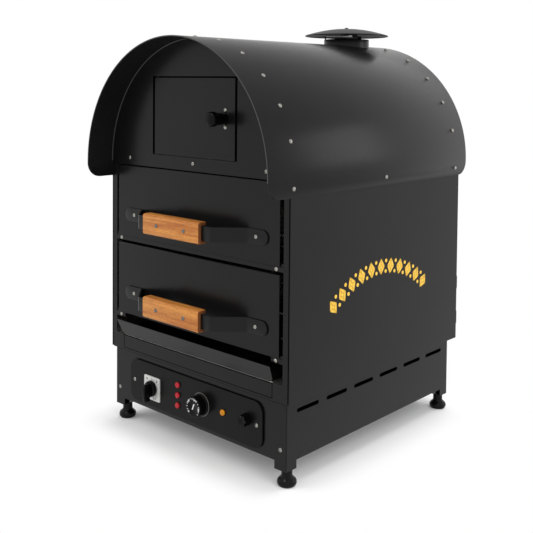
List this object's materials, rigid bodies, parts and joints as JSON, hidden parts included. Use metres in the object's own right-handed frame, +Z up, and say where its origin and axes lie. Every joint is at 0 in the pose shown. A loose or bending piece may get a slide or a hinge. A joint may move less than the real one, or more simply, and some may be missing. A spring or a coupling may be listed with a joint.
{
  "type": "baked potato oven",
  "caption": "Countertop potato baking oven with two pull-out drawers, a crumb tray, an arched keep-warm chamber with its own door, and a capped flue.",
  "frame": {"origin": "on the floor under the centre of the bounding box", "axes": "+Z up, -Y towards the front (drawers and controls), +X to the right seen from the front"},
  "size_m": [0.5102, 0.65, 0.8434],
  "materials": {
    "powder_black": "fine satin powder coat",
    "fascia_black": "satin",
    "strap_black": "semi-gloss",
    "silver_plate": "satin label plate",
    "knob_black": "semi-gloss phenolic",
    "lamp_red": "translucent lens",
    "lamp_amber": "translucent lens",
    "switch_case": "matte",
    "gland_black": "matte nylon",
    "liner_steel": "mill finish stainless",
    "zinc_steel": "zinc plated",
    "bright_screw": "bright",
    "element_sheath": "heat-darkened",
    "motor_case": "satin",
    "rack_wire": "bright wire",
    "mineral_wool": "fibrous",
    "grip_wood": "oiled hardwood",
    "foot_rubber": "matte"
  },
  "bodies": {
    "oven": {"base_shell": "powder_black", "control_fascia": "fascia_black", "isolator_switch": "silver_plate", "red_lamps": "lamp_red", "amber_lamp": "lamp_amber", "thermostat": "switch_case", "dimmer": "switch_case", "cable_gland": "gland_black", "side_panel_left": "powder_black", "side_panel_right": "powder_black", "front_frame": "powder_black", "lower_front_panel": "powder_black", "body_floor": "powder_black", "rear_panel": "powder_black", "oven_liner": "liner_steel", "insulation": "mineral_wool", "drawer_runners": "zinc_steel", "runner_bolts": "bright_screw", "oven_element": "element_sheath", "fan_motor": "motor_case", "fan_guard": "liner_steel", "rear_hinges": "powder_black", "gable_front": "powder_black", "hood": "powder_black", "hood_bolts": "bright_screw", "panel_screws": "bright_screw", "warmer_pivots": "zinc_steel", "warmer_catch": "zinc_steel", "warmer_floor": "liner_steel", "warmer_rack": "rack_wire", "flue_collar": "powder_black", "cap_bracket": "powder_black", "flue_cap": "powder_black", "foot_front_left": "foot_rubber", "foot_front_right": "foot_rubber", "foot_rear_left": "foot_rubber", "foot_rear_right": "foot_rubber"},
    "upper_drawer": {"upper_drawer_front": "powder_black", "upper_drawer_frame": "liner_steel", "upper_drawer_rack": "rack_wire", "upper_handle_strap": "strap_black", "upper_handle_grip": "grip_wood", "upper_handle_screws": "bright_screw"},
    "lower_drawer": {"lower_drawer_front": "powder_black", "lower_drawer_frame": "liner_steel", "lower_drawer_rack": "rack_wire", "lower_handle_strap": "strap_black", "lower_handle_grip": "grip_wood", "lower_handle_screws": "bright_screw"},
    "crumb_tray_body": {"crumb_tray": "powder_black"},
    "warm_door": {"warmer_door": "powder_black", "warmer_knob": "knob_black", "warmer_door_screws": "bright_screw"},
    "service_door": {"rear_door": "powder_black", "rear_hinge_leaves": "powder_black", "rear_door_knob": "knob_black"},
    "isolator_lever": {"isolator_knob": "knob_black"},
    "thermostat_dial": {"thermostat_knob": "knob_black"},
    "dimmer_dial": {"dimmer_knob": "knob_black"},
    "fan": {"fan_impeller": "liner_steel"}
  },
  "joints": [
    {"name": "upper_drawer_slide", "type": "slide", "parent": "oven", "child": "upper_drawer", "axis": [0, -1, 0], "range_m": [0, 0.33]},
    {"name": "lower_drawer_slide", "type": "slide", "parent": "oven", "child": "lower_drawer", "axis": [0, -1, 0], "range_m": [0, 0.33]},
    {"name": "crumb_tray_slide", "type": "slide", "parent": "oven", "child": "crumb_tray_body", "axis": [0, -1, 0], "range_m": [0, 0.36]},
    {"name": "warmer_door_hinge", "type": "hinge", "parent": "oven", "child": "warm_door", "pos_m": [-0.1077, -0.258, 0.6473], "axis": [0, 0, 1], "range_deg": [-105, 0]},
    {"name": "rear_door_hinge", "type": "hinge", "parent": "oven", "child": "service_door", "pos_m": [0.2446, 0.303, 0.23775], "axis": [0, 0, 1], "range_deg": [-110, 0]},
    {"name": "isolator_turn", "type": "hinge", "parent": "oven", "child": "isolator_lever", "pos_m": [-0.1165, -0.263, 0.094], "axis": [0, 1, 0], "range_deg": [0, 90]},
    {"name": "thermostat_turn", "type": "hinge", "parent": "oven", "child": "thermostat_dial", "pos_m": [0.028, -0.263, 0.099], "axis": [0, 1, 0], "range_deg": [0, 280]},
    {"name": "dimmer_turn", "type": "hinge", "parent": "oven", "child": "dimmer_dial", "pos_m": [0.149, -0.263, 0.104], "axis": [0, 1, 0], "range_deg": [0, 270]},
    {"name": "fan_spin", "type": "hinge", "parent": "oven", "child": "fan", "pos_m": [0, 0.186, 0.282], "axis": [0, 1, 0], "continuous": true}
  ]
}
